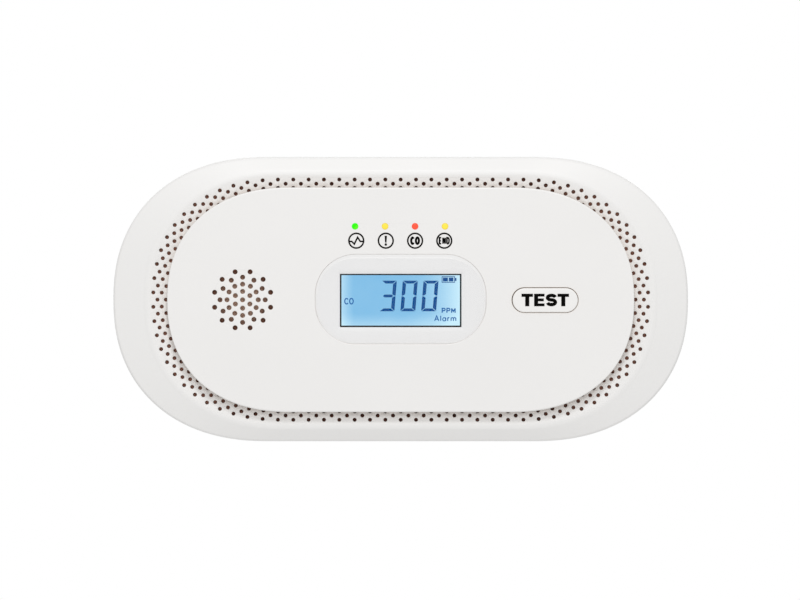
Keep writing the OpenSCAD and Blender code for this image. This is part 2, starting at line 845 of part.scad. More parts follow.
front_cover();
face_plate();
display_lens();
lens_adhesive();
lcd_seal();
lcd_glass();
lcd_backlight();
lcd_frame();
lcd_connector();
vent_screen();
grille_screen();
test_button();
tact_switch();
tact_plunger();
light_pipe_power();
light_pipe_fault();
light_pipe_alarm();
light_pipe_end();
led_power();
led_fault();
led_alarm();
led_end();
main_board();
microcontroller();
inductor();
capacitors();
co_sensor();
sensor_filter_cap();
sounder_housing();
piezo_disc();
sounder_gasket();
rear_cover();
battery_door();
rating_label();
battery_1();
battery_2();
battery_3();
contact_springs();
contact_plates();
battery_leads();
cover_screws();
board_screws();
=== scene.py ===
"""Looks of the carbon monoxide detector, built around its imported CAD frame.

Pieces are built in millimetres lying on their back, x to the right, y to the top and z away
from the wall, as the CAD sub-parts are. at() stands a point up and turns it into metres.
"""
import math

import bmesh
import bpy
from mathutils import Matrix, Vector
from mathutils.geometry import delaunay_2d_cdt


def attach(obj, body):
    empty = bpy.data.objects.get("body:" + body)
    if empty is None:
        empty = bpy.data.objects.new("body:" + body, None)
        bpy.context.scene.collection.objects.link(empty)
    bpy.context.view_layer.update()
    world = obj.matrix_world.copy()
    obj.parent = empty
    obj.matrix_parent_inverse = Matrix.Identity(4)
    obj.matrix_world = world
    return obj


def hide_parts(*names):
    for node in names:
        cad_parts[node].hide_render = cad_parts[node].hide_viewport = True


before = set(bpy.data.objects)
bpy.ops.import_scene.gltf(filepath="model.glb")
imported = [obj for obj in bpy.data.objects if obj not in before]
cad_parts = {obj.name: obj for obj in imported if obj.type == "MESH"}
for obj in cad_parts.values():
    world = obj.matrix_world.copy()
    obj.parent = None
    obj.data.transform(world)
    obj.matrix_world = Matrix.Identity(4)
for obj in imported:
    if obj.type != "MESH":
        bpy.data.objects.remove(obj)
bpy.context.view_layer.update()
scene = bpy.context.scene


# ---- Sizes, in millimetres, as in the CAD model ----

FLOOR_Z = 32.9
PLATE_Z = 35.6
PLATE_UNDER = 33.4
DECK_Z = 30.9
CREST_Z = 33.0
EDGE_Z = 30.75
PARTING_Z = 14.0
END_POWER = 2.26
VENT_POWER = END_POWER + 0.02
QUARTER = 48

# Ovals: length, width and half of the straight stretch
BODY = (151.2, 74.7, 34.8)
VENT = (130.0, 63.1, 30.8)
PLATE = (122.4, 59, 28.8)
RIM_L = 122.6

GRILLE_X = -41.5
LIGHT_Y = 19.3
LENS_Y = 0.2
WINDOW = (31.9, 14)
WINDOW_Y = -0.2
LIGHT_PITCH = 7.87
LIGHT_X = [-0.17 + (i - 1.5) * LIGHT_PITCH for i in range(4)]
BUTTON_X = 37.95
BUTTON_Z = 36.0
HEAD_Z = 9.0
BOSS = (51.0, 15.3)
BOARD_SCREW = (39.5, 19.5)
POST = (24.0, 21.0)
CELL_PITCH = 14.8
CELL_Z = 9.35
CELL_R = 7.25
BAY = (58.8, 44.7)
BAY_Z = 17.1
HINGE = (21.45, 1.6)
KNUCKLE_ROW = 19.35
KEYHOLE_X = 45.0
LABEL_Y = -2
CORNERS = [(sx, sy) for sx in (1, -1) for sy in (1, -1)]


# ---- Points and loops ----

def at(p):
    return Vector((p[0], -p[2], p[1])) * 0.001


def power(value, exponent):
    return math.copysign(abs(value) ** exponent, value) if abs(value) > 1e-9 else 0.0


def oval(length, width, straight, exponent=END_POWER, steps=QUARTER):
    """Superellipse ends on straights, anticlockwise from the right end."""
    points = []
    for sx, sy, order in ((1, 1, 1), (-1, 1, -1), (-1, -1, 1), (1, -1, -1)):
        turn = [90 * i / steps for i in range(steps + 1)]
        if order < 0:
            turn = turn[::-1]
        e = 2 / exponent
        ways = [(power(math.cos(math.radians(t)), e), power(math.sin(math.radians(t)), e)) for t in turn]
        quarter = [(sx * (straight + (length / 2 - straight) * u), sy * width / 2 * v) for u, v in ways]
        points += quarter if not points else [q for q in quarter if math.dist(q, points[-1]) > 1e-6]
    return points[:-1]


def body_oval(inset):
    return oval(BODY[0] - 2 * inset, BODY[1] - 2 * inset, BODY[2])


def vent_oval(outset):
    return oval(VENT[0] + 2 * outset, VENT[1] + 2 * outset, VENT[2], VENT_POWER)


def plate_oval(inset):
    return oval(PLATE[0] - 2 * inset, PLATE[1] - 2 * inset, PLATE[2])


def plate_rim(inset):
    """Outline within the plate's rounded front edge, which is tighter at the ends."""
    return oval(RIM_L - 0.5 * inset, PLATE[1] - 1.8 * inset, PLATE[2])


def circle(x, y, r, sides, start=0.0):
    turns = [start + 2 * math.pi * i / sides for i in range(sides)]
    return [(x + r * math.cos(a), y + r * math.sin(a)) for a in turns]


def round_rect(length, width, r, x=0.0, y=0.0, steps=8):
    points = []
    for cx, cy, first in ((1, 1, 0), (-1, 1, 90), (-1, -1, 180), (1, -1, 270)):
        for i in range(steps + 1):
            a = math.radians(first + 90 * i / steps)
            points.append((x + cx * (length / 2 - r) + r * math.cos(a),
                           y + cy * (width / 2 - r) + r * math.sin(a)))
    return points


def grown(length, width, r, x=0.0, y=0.0, steps=8):
    """Round rectangle as a function of its growth."""
    return lambda g: round_rect(length + 2 * g, width + 2 * g, r + g, x, y, steps)


def grown_track(length, width, x=0.0, y=0.0):
    """Racetrack as a function of its growth."""
    return lambda g: round_rect(length + 2 * g, width + 2 * g, (width + 2 * g) / 2 * 0.9999, x, y, 12)


def raised(points, z):
    return [(p[0], p[1], z) for p in points]


def between(a, b, c, share):
    """Quadratic curve between three matching loops."""
    u = 1 - share
    return [tuple(u * u * p[k] + 2 * u * share * q[k] + share * share * r[k] for k in range(3))
            for p, q, r in zip(a, b, c)]


def stack(outline, levels):
    """Loops of an outline, one for each pair of size and height."""
    return [raised(outline(size), z) for size, z in levels]


def rounded(outline, levels, steps):
    """Curve between three levels of an outline."""
    loops = stack(outline, levels)
    return [between(*loops, i / steps) for i in range(steps + 1)]


def upright(x, y):
    """Places a body of revolution upright at x and y."""
    return lambda r, a, h: (x + r * math.cos(a), y + r * math.sin(a), h)


# ---- Meshes ----

def placed(name, data):
    made = bpy.data.objects.new(name, data)
    scene.collection.objects.link(made)
    return made


class Shape:
    """Vertices and faces of one piece, with a material number for each face."""

    def __init__(self):
        self.points = []
        self.faces = []
        self.finish = []
        self.current = 0

    def add(self, loop):
        start = len(self.points)
        self.points += [tuple(p) for p in loop]
        return list(range(start, start + len(loop)))

    def face(self, indices):
        self.faces.append(tuple(indices))
        self.finish.append(self.current)

    def skin(self, loops):
        """Walls between loops with the same number of points. Returns the first and last loop."""
        rows = [self.add(l) if not isinstance(l[0], int) else l for l in loops]
        for low, high in zip(rows, rows[1:]):
            n = len(low)
            for i in range(n):
                self.face((low[i], low[(i + 1) % n], high[(i + 1) % n], high[i]))
        return rows[0], rows[-1]

    def fan(self, loop):
        """Closes a convex loop with a point in its middle."""
        middle = [sum(self.points[i][k] for i in loop) / len(loop) for k in range(3)]
        centre = self.add([middle])[0]
        for i, j in zip(loop, loop[1:] + loop[:1]):
            self.face((i, j, centre))

    def flat(self, outer, holes=()):
        """Fills a flat region between an outer loop and its holes."""
        loops = [outer] + list(holes)
        order = [i for l in loops for i in l]
        owner = [k for k, l in enumerate(loops) for _ in l]
        edges, start = [], 0
        for l in loops:
            edges += [(start + i, start + (i + 1) % len(l)) for i in range(len(l))]
            start += len(l)
        coords = [Vector(self.points[i][:2]) for i in order]
        _, _, triangles, source, _, _ = delaunay_2d_cdt(coords, edges, [], 1, 1e-7, True)
        for triangle in triangles:
            corners = [source[i][0] for i in triangle]
            owners = {owner[c] for c in corners}
            if len(owners) == 1:
                k = owners.pop()
                if self.inside(corners, coords, loops[k]) == (k > 0):
                    continue
            self.face([order[c] for c in corners])

    def inside(self, corners, coords, loop):
        x = sum(coords[c].x for c in corners) / 3
        y = sum(coords[c].y for c in corners) / 3
        hit = False
        for i, j in zip(loop, loop[1:] + loop[:1]):
            (x1, y1), (x2, y2) = self.points[i][:2], self.points[j][:2]
            if (y1 > y) != (y2 > y) and x < x1 + (y - y1) / (y2 - y1) * (x2 - x1):
                hit = not hit
        return hit

    def collar(self, outer, inner):
        """Closed frame between a stack of outer loops and one of inner loops."""
        for rim, hole in zip(self.skin(outer), self.skin(inner)):
            self.flat(rim, [hole])

    def turned(self, profile, sides, place):
        """Closed body of revolution from [radius, height] pairs that start and end on the axis."""
        loops = [[place(r, 2 * math.pi * i / sides, h) for i in range(sides)] for r, h in profile if r > 1e-6]
        low, high = self.skin(loops)
        self.fan(low)
        self.fan(high)

    def tube(self, path, r, sides):
        """Round wire along a path, with closed ends."""
        loops = []
        for i, p in enumerate(path):
            ahead, behind = path[min(i + 1, len(path) - 1)], path[max(i - 1, 0)]
            along = (Vector(ahead) - Vector(behind)).normalized()
            side = Vector((1, 0, 0)).cross(along).normalized()
            up = along.cross(side)
            loops.append([tuple(Vector(p) + r * (math.cos(a) * side + math.sin(a) * up))
                          for a in (2 * math.pi * k / sides for k in range(sides))])
        low, high = self.skin(loops)
        self.fan(low)
        self.fan(high)

    def piece(self, name, body, finishes, replaces=(), sharp=40.0):
        mesh = bpy.data.meshes.new(name)
        mesh.from_pydata([at(p) for p in self.points], [], self.faces)
        mesh.polygons.foreach_set("material_index", self.finish)
        for finish in finishes:
            mesh.materials.append(M[finish])
        work = bmesh.new()
        work.from_mesh(mesh)
        bmesh.ops.remove_doubles(work, verts=work.verts, dist=2e-8)
        bmesh.ops.recalc_face_normals(work, faces=work.faces)
        limit = math.radians(sharp)
        for edge in work.edges:
            edge.smooth = len(edge.link_faces) == 2 and edge.calc_face_angle(0) < limit
        for face in work.faces:
            face.smooth = True
        work.to_mesh(mesh)
        work.free()
        made = placed(name, mesh)
        weighted = made.modifiers.new("weighted", "WEIGHTED_NORMAL")
        weighted.keep_sharp = True
        weighted.weight = 80
        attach(made, body)
        if replaces:
            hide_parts(*replaces)
        return made


# ---- Materials ----

M = {}


def blank(name):
    """New material with its nodes, links and main shader."""
    made = bpy.data.materials.new(name)
    made.use_nodes = True
    tree = made.node_tree
    return made, tree.nodes, tree.links, tree.nodes["Principled BSDF"]


def settle(node, **constants):
    """Sets constants on a node's sockets; an underscore in a name stands for a space."""
    for socket, value in constants.items():
        node.inputs[socket.replace("_", " ")].default_value = value
    return node


def added(nodes, kind, **constants):
    return settle(nodes.new("ShaderNode" + kind), **constants)


def mix_shaders(nodes, links, factor, first, second, output):
    mix = added(nodes, "MixShader")
    links.new(factor, mix.inputs["Fac"])
    links.new(first, mix.inputs[1])
    links.new(second, mix.inputs[2])
    links.new(mix.outputs["Shader"], nodes[output].inputs["Surface"])


def maths(nodes, links, operation, a, b=0.0, clamp=True):
    """Result of one operation, kept between 0 and 1 unless clamp is off."""
    node = added(nodes, "Math")
    node.operation = operation
    node.use_clamp = clamp
    for value, socket in ((a, node.inputs[0]), (b, node.inputs[1])):
        if isinstance(value, (int, float)):
            socket.default_value = value
        else:
            links.new(value, socket)
    return node.outputs["Value"]


def split(nodes, links, coordinates):
    """Coordinates across and up the front."""
    node = added(nodes, "SeparateXYZ")
    links.new(coordinates, node.inputs["Vector"])
    return node.outputs["X"], node.outputs["Z"]


def mix_colour(nodes, links, factor, a, b):
    mix = added(nodes, "Mix")
    mix.data_type = "RGBA"
    links.new(factor, mix.inputs["Factor"])
    for value, socket in ((a, mix.inputs["A"]), (b, mix.inputs["B"])):
        if isinstance(value, tuple):
            socket.default_value = (*value, 1)
        else:
            links.new(value, socket)
    return mix.outputs["Result"]


def ramp(nodes, links, value, low, high, start=0.0, end=1.0):
    node = added(nodes, "MapRange", From_Min=low, From_Max=high, To_Min=start, To_Max=end)
    links.new(value, node.inputs["Value"])
    return node.outputs["Result"]


def noise(nodes, links, coordinates, size_mm, detail=3.0, roughness=0.5, stretch=None):
    """Noise whose features are size_mm across."""
    vector = coordinates
    if stretch:
        mapping = added(nodes, "Mapping", Scale=stretch)
        links.new(coordinates, mapping.inputs["Vector"])
        vector = mapping.outputs["Vector"]
    node = added(nodes, "TexNoise", Scale=1000 / size_mm, Detail=detail, Roughness=roughness)
    links.new(vector, node.inputs["Vector"])
    return node.outputs["Fac"]


def material(name, colour, rough, shade=0.05, blotch=18.0, grain=0.2, relief=0.006, metal=0.0,
             specular=0.5, glow=None, glow_strength=0.0, stretch=None, extra=None, coat=0.0, painted_crease_shade=None):
    """Plastic, metal or paper with slow colour drift, fine grain in its relief, uneven gloss and, if a crease
    tint is given, painted shade darkening and warming its creases and recesses.
    """
    made, nodes, links, shader = blank(name)
    coordinates = added(nodes, "TexCoord").outputs["Object"]
    drift = noise(nodes, links, coordinates, blotch, 4.0)
    fine = noise(nodes, links, coordinates, grain, 3.0, 0.6, stretch)
    dark = tuple(c * (1 - shade) for c in colour)
    light = tuple(min(1.0, c * (1 + shade * 0.4)) for c in colour)
    base = mix_colour(nodes, links, ramp(nodes, links, drift, 0.3, 0.7), dark, light)
    speck = tuple(c * (1 - shade * 0.8) for c in colour)
    base = mix_colour(nodes, links, ramp(nodes, links, fine, 0.62, 0.8, 0.0, 0.35), base, speck)
    if extra:
        base = extra(nodes, links, coordinates, base, shader)
    # Painted shade: an ambient occlusion mask darkens and warms the colour in creases, in recesses and beside
    # raised parts. It stands in for the shade and warm bounce light there.
    if painted_crease_shade:
        hollow = added(nodes, "AmbientOcclusion", Distance=0.004)
        hollow.samples = 6
        crease_shaded = added(nodes, "Mix")
        crease_shaded.data_type, crease_shaded.blend_type = "RGBA", "MULTIPLY"
        crease_shaded.inputs["B"].default_value = (*painted_crease_shade, 1)
        links.new(ramp(nodes, links, hollow.outputs["AO"], 0.45, 0.92, 1.0, 0.0), crease_shaded.inputs["Factor"])
        links.new(base, crease_shaded.inputs["A"])
        base = crease_shaded.outputs["Result"]
    links.new(base, shader.inputs["Base Color"])
    links.new(ramp(nodes, links, fine, 0.25, 0.75, rough - 0.06, rough + 0.06), shader.inputs["Roughness"])
    bump = added(nodes, "Bump", Strength=0.6, Distance=relief * 0.001)
    links.new(fine, bump.inputs["Height"])
    links.new(bump.outputs["Normal"], shader.inputs["Normal"])
    settle(shader, Metallic=metal, Specular_IOR_Level=specular, Coat_Weight=coat)
    if glow:
        settle(shader, Emission_Color=(*glow, 1), Emission_Strength=glow_strength)
    M[name] = made


def clear_material(name, tint, gloss, rough):
    """Clear plastic: see-through, with its surface's own reflections over it."""
    made, nodes, links, shader = blank(name)
    settle(shader, Base_Color=(0.95, 0.95, 0.95, 1), Metallic=1.0)
    coordinates = added(nodes, "TexCoord").outputs["Object"]
    smear = noise(nodes, links, coordinates, 9.0, 4.0)
    links.new(ramp(nodes, links, smear, 0.3, 0.7, rough * 0.6, rough * 1.4), shader.inputs["Roughness"])
    through = added(nodes, "BsdfTransparent", Color=(*tint, 1))
    facing = added(nodes, "LayerWeight", Blend=0.5)
    sharper = maths(nodes, links, "POWER", facing.outputs["Facing"], 4.0, clamp=False)
    mix_shaders(nodes, links, ramp(nodes, links, sharper, 0.0, 1.0, gloss, 0.5), through.outputs["BSDF"],
                shader.outputs["BSDF"], "Material Output")
    M[name] = made


def srgb(r, g, b):
    return tuple((c / 255 / 12.92) if c <= 10 else ((c / 255 + 0.055) / 1.055) ** 2.4 for c in (r, g, b))


def panel_glow(nodes, links, coordinates, base, shader):
    """Backlight: dim left of the middle, brighter at the left edge, along the foot and to the right."""
    across, up = split(nodes, links, coordinates)
    near_lamp = maths(nodes, links, "POWER", ramp(nodes, links, across, -0.002, 0.016), 2.6)
    left_edge = maths(nodes, links, "POWER", ramp(nodes, links, across, -0.0122, -0.0162, 0.0, 0.8), 1.3)
    foot = maths(nodes, links, "POWER", ramp(nodes, links, up, -0.0035, -0.0082, 0.0, 0.78), 1.3)
    total = maths(nodes, links, "ADD", maths(nodes, links, "ADD", near_lamp, left_edge), foot)
    drift = ramp(nodes, links, noise(nodes, links, coordinates, 5.0, 2.0), 0.3, 0.7, 0.0, 0.05)
    total = maths(nodes, links, "ADD", total, drift)
    blue = mix_colour(nodes, links, total, srgb(122, 187, 229), srgb(202, 239, 254))
    links.new(blue, shader.inputs["Emission Color"])
    settle(shader, Emission_Strength=0.99)
    return base


def two_tone(nodes, links, coordinates, base, shader):
    """Lens-like tip of the lit pipe: deep green above, paler below and to the right."""
    aslant = maths(nodes, links, "SUBTRACT", *split(nodes, links, coordinates), clamp=False)
    middle = (LIGHT_X[0] - LIGHT_Y) * 0.001
    side = ramp(nodes, links, aslant, middle - 0.0001, middle + 0.0004)
    glow = mix_colour(nodes, links, side, (0.02, 0.98, 0.0), (0.16, 1.0, 0.03))
    links.new(glow, shader.inputs["Emission Color"])
    return base


def board_pattern(nodes, links, coordinates, base, shader):
    """Copper tracks showing through the solder mask."""
    cells = added(nodes, "TexVoronoi", Scale=320)
    cells.feature = "DISTANCE_TO_EDGE"
    cells.distance = "MANHATTAN"
    links.new(coordinates, cells.inputs["Vector"])
    line = ramp(nodes, links, cells.outputs["Distance"], 0.05, 0.07, 1.0, 0.0)
    return mix_colour(nodes, links, line, base, (0.10, 0.36, 0.16))


def weave(nodes, links, coordinates, base, shader):
    """Woven mesh of the vent screen, paler towards the ends."""
    for axis in ("X", "Z"):
        wave = added(nodes, "TexWave", Scale=900)
        wave.bands_direction = axis
        links.new(coordinates, wave.inputs["Vector"])
        dark = ramp(nodes, links, wave.outputs["Fac"], 0.2, 0.8, 0.0, 0.5)
        base = mix_colour(nodes, links, dark, base, (0.20, 0.08, 0.055))
    across, _ = split(nodes, links, coordinates)
    ends = ramp(nodes, links, maths(nodes, links, "ABSOLUTE", across, clamp=False), 0.036, 0.050, 0.0, 0.6)
    return mix_colour(nodes, links, ends, base, (0.70, 0.36, 0.27))


def worn_weave(nodes, links, coordinates, base, shader):
    """Grille screen: dusty and paler towards its middle."""
    offset = added(nodes, "VectorMath")
    offset.operation = "SUBTRACT"
    links.new(coordinates, offset.inputs[0])
    offset.inputs[1].default_value = at((GRILLE_X, 0, PLATE_UNDER))
    reach = added(nodes, "VectorMath")
    reach.operation = "LENGTH"
    links.new(offset.outputs["Vector"], reach.inputs[0])
    middle = ramp(nodes, links, reach.outputs["Value"], 0.0035, 0.0078, 1.0, 0.0)
    return mix_colour(nodes, links, middle, base, (0.82, 0.60, 0.50))


white = (0.800, 0.793, 0.783)
# The last value given to each white is the tint of its painted crease shade.
material("shell_white", white, 0.46, 0.012, 22.0, 0.16, 0.004, painted_crease_shade=(0.985, 0.935, 0.90))
material("plate_white", (0.806, 0.797, 0.786), 0.48, 0.010, 26.0, 0.14, 0.003, painted_crease_shade=(0.95, 0.87, 0.80))
material("button_white", (0.826, 0.816, 0.803), 0.40, 0.012, 6.0, 0.14, 0.002, painted_crease_shade=(0.92, 0.82, 0.74))
clear_material("lens_clear", (0.992, 0.993, 0.994), 0.012, 0.06)
material("lens_edge", (0.80, 0.797, 0.793), 0.35, 0.008, 12.0, 0.2, 0.001)
material("white_tape", (0.786, 0.783, 0.783), 0.55, 0.008, 12.0, 0.2, 0.001)
material("black_foam", (0.006, 0.005, 0.0045), 0.8, 0.3, 2.0, 0.25, 0.03, specular=0.1)
material("lcd_panel", (0.015, 0.022, 0.026), 0.2, 0.03, 8.0, 0.3, 0.0005, specular=0.15, extra=panel_glow)
material("light_guide", (0.75, 0.85, 0.93), 0.25, 0.03, 8.0, 0.3, 0.002)
material("frame_plastic", (0.72, 0.71, 0.68), 0.5, 0.04, 9.0, 0.2, 0.005)
material("elastomer", (0.05, 0.05, 0.055), 0.6, 0.3, 1.0, 0.1, 0.01, stretch=(1, 0.1, 1))
material("screen_fabric", (0.27, 0.115, 0.08), 0.85, 0.2, 4.0, 0.2, 0.02, extra=weave)
material("grille_fabric", (0.29, 0.135, 0.095), 0.85, 0.12, 4.0, 0.2, 0.02, extra=worn_weave)
material("black_plastic", (0.018, 0.018, 0.019), 0.42, 0.2, 5.0, 0.15, 0.004)
material("print_black", (0.0015, 0.0012, 0.001), 0.6, 0.3, 1.2, 0.08, 0.001, specular=0.03)
material("green_light", (0.02, 0.50, 0.004), 0.25, 0.05, 1.0, 0.3, 0.001, specular=0.06,
         glow=(0.03, 0.98, 0.0), glow_strength=0.55, extra=two_tone)
material("yellow_light", (0.60, 0.48, 0.06), 0.25, 0.05, 1.0, 0.3, 0.001, specular=0.15,
         glow=(0.99, 0.80, 0.078), glow_strength=0.42)
material("red_light", (0.60, 0.07, 0.04), 0.25, 0.05, 1.0, 0.3, 0.001, specular=0.15,
         glow=(0.99, 0.085, 0.04), glow_strength=0.48)
material("led_white", (0.78, 0.77, 0.72), 0.4, 0.04, 1.0, 0.1, 0.002)
material("board_laminate", (0.02, 0.16, 0.06), 0.32, 0.12, 6.0, 0.3, 0.004, extra=board_pattern)
material("ferrite", (0.07, 0.07, 0.075), 0.65, 0.2, 1.5, 0.12, 0.02)
material("capacitor_can", (0.55, 0.55, 0.57), 0.3, 0.05, 3.0, 0.15, 0.002, metal=1.0, stretch=(1, 1, 0.1))
material("sensor_case", (0.62, 0.62, 0.60), 0.32, 0.06, 3.0, 0.12, 0.003, metal=1.0, stretch=(1, 0.1, 1))
material("sounder_case", (0.045, 0.032, 0.026), 0.5, 0.15, 4.0, 0.2, 0.006)
material("brass_disc", (0.72, 0.52, 0.20), 0.3, 0.1, 3.0, 0.15, 0.003, metal=1.0)
material("label_paper", (0.80, 0.80, 0.785), 0.62, 0.03, 5.0, 0.09, 0.006)
material("cell_sleeve", (0.035, 0.045, 0.085), 0.28, 0.12, 7.0, 0.2, 0.002, coat=0.3)
material("cell_band", (0.62, 0.34, 0.12), 0.26, 0.08, 6.0, 0.2, 0.002, metal=0.8, coat=0.3)
material("cell_end", (0.66, 0.65, 0.62), 0.3, 0.08, 2.0, 0.12, 0.003, metal=1.0)
material("nickel_wire", (0.70, 0.67, 0.60), 0.22, 0.08, 2.0, 0.2, 0.003, metal=1.0)
material("lead_insulation", (0.45, 0.02, 0.02), 0.45, 0.1, 3.0, 0.2, 0.004)
material("screw_steel", (0.60, 0.60, 0.59), 0.3, 0.1, 1.5, 0.1, 0.004, metal=1.0)
material("segment_blue", (0.002, 0.010, 0.030), 0.5, 0.08, 2.0, 0.1, 0.0005, specular=0.0,
         glow=srgb(2, 76, 142), glow_strength=0.9)
material("letter_blue", (0.004, 0.030, 0.070), 0.5, 0.08, 2.0, 0.1, 0.0005, specular=0.0,
         glow=srgb(0, 90, 162), glow_strength=0.9)
material("print_grey", (0.30, 0.30, 0.31), 0.5, 0.1, 1.2, 0.08, 0.002)


# ---- Front cover ----

def vent_points():
    """Vent hole centres: rows half a pitch apart, running in under the plate's edge."""
    straight, a, b, e = VENT[2], VENT[0] / 2 - VENT[2], VENT[1] / 2, VENT_POWER

    def end(t):
        return (straight + a * power(math.cos(t), 2 / e), b * power(math.sin(t), 2 / e))

    fine = 90
    travel = [(0.0, math.pi / 2)]
    for i in range(fine):
        p, q = end(math.radians(90 - i)), end(math.radians(89 - i))
        travel.append((travel[-1][0] + math.dist(p, q), math.radians(89 - i)))
    side_pitch, side_holes, quarter_holes, row_gap = 4.03, 10, 21.5, 1.11
    end_pitch = (straight + travel[-1][0] - side_holes * side_pitch) / (quarter_holes - side_holes)
    plate_end = PLATE[0] / 2 - PLATE[2]
    found = []
    for row in range(4):
        inset = row * row_gap
        for k in range(22):
            number = k + (row % 2) / 2
            d = side_pitch * min(number, side_holes) + end_pitch * max(0, number - side_holes)
            if d <= straight:
                p = (d, b - inset)
            else:
                d = min(d - straight, travel[-1][0])
                j = max(i for i in range(fine) if travel[i][0] <= d)
                (d0, t0), (d1, t1) = travel[j], travel[j + 1]
                t = t0 + (t1 - t0) * (d - d0) / (d1 - d0)
                x, y = end(t)
                nx = max(math.cos(t), 0) ** (2 * (e - 1) / e) / a
                ny = max(math.sin(t), 0) ** (2 * (e - 1) / e) / b
                size = math.hypot(nx, ny)
                p = (x - inset * nx / size, y - inset * ny / size)
            reach = ((max(0, abs(p[0]) - PLATE[2]) / plate_end) ** END_POWER
                     + (abs(p[1]) / (PLATE[1] / 2)) ** END_POWER)
            if reach > 0.96:
                found.append(p)
    return [(sx * x, sy * y) for sx, sy in CORNERS for x, y in found
            if (sx > 0 or x > 0.1) and (sy > 0 or y > 0.1)]


def drilled(shape, x, y, r, sides, soft, top, bottom):
    """Wall of a round through hole with a softened front edge. Returns its top and bottom loops."""
    levels = [(soft, top), (soft * 0.3, top - soft * 0.3), (0, top - soft * 1.2), (0, bottom)]
    return shape.skin(stack(lambda grow: circle(x, y, r + grow, sides), levels))


def through(shape, outline, top, bottom):
    return shape.skin(stack(outline, [(0.06, top), (0, top - 0.1), (0, bottom)]))


def ring(shape, x, y, outer, inner, low, high):
    """Closed tube standing on its end."""
    corners = [(outer, low), (outer, high), (inner, high), (inner, low), (outer, low)]
    shape.skin(stack(lambda r: circle(x, y, r, 32), corners))


def channel_fall(x, y):
    """Fall of the channel floor from its outer edge in towards the plate."""
    rim, reach, slope, most = 1.2, 33, 0.085, 0.32
    along = max(0, abs(x) - VENT[2]) / (VENT[0] / 2 + rim - VENT[2])
    level = along ** END_POWER + (abs(y) / (VENT[1] / 2 + rim)) ** END_POWER
    inward = max(0.0, 1 - level ** (1 / END_POWER)) * reach
    return min(most, slope * inward)


def build_front_cover():
    s = Shape()
    wall = 2.1
    loops = stack(vent_oval, [(0.75, CREST_Z)])
    loops += rounded(vent_oval, [(0.85, CREST_Z), (1.75, CREST_Z + 0.05), (2.6, CREST_Z - 0.34)], 8)
    loops += rounded(body_oval, [(0.7, EDGE_Z + 0.28), (0.12, EDGE_Z - 0.04), (0.10, EDGE_Z - 0.6)], 7)
    loops += stack(body_oval, [(0.05, (PARTING_Z + EDGE_Z) / 2), (0.0, PARTING_Z + 0.4)])
    loops += rounded(body_oval, [(0.0, PARTING_Z + 0.35), (0.0, PARTING_Z), (0.3, PARTING_Z)], 4)
    loops += stack(body_oval, [(wall, PARTING_Z), (wall, EDGE_Z - 3.4), (wall + 1.4, EDGE_Z - 2.2)])
    loops += stack(vent_oval, [(0.75, DECK_Z)])
    top, bottom = s.skin(loops)
    openings = [(x, y, 0.52, 16, 0.08) for x, y in vent_points()]
    openings += [(x, LIGHT_Y, 0.95, 20, 0.05) for x in LIGHT_X]
    openings += [(GRILLE_X, 0, 10.5, 64, 0.1)]
    openings += [(sx * POST[0], sy * POST[1], 1.6, 20, 0.05) for sx, sy in CORNERS]
    pairs = [drilled(s, *opening, CREST_Z, DECK_Z) for opening in openings]
    pairs.append(through(s, grown(40.5, 22.6, 0.5, y=WINDOW_Y), CREST_Z, DECK_Z))
    pairs.append(through(s, grown_track(20.6, 9.5, BUTTON_X), CREST_Z, DECK_Z))
    s.flat(top, [p[0] for p in pairs])
    s.flat(bottom, [p[1] for p in pairs])
    s.points = [(x, y, z - channel_fall(x, y)) if z > DECK_Z + 1.5 else (x, y, z) for x, y, z in s.points]
    for sx, sy in CORNERS:
        ring(s, sx * BOSS[0], sy * BOSS[1], 3.5, 1.25, 12, DECK_Z + 0.3)
        ring(s, sx * BOARD_SCREW[0], sy * BOARD_SCREW[1], 2.6, 0.95, 21.6, DECK_Z + 0.3)
    s.piece("front_shell", "housing", ["shell_white"], ["front_cover"])


# ---- Face plate ----

def grille_points():
    points = [(0.0, 0.0)]
    for count, r, first in ((6, 2.2, 30), (12, 4.1, 0), (12, 5.93, 0), (12, 7.6, 15)):
        points += circle(0, 0, r, count, math.radians(first))
    return [(GRILLE_X + x, y) for x, y in points]


window_outline = grown(*WINDOW, 0.2, y=WINDOW_Y)
lens_outline = grown(44.9, 23.6, 10.7, y=LENS_Y, steps=16)
# Edge of the lens's flat face: a step in from its outline, wider along the top
lens_crown = grown(44.4, 22.5, 10.2, y=LENS_Y - 0.4, steps=16)


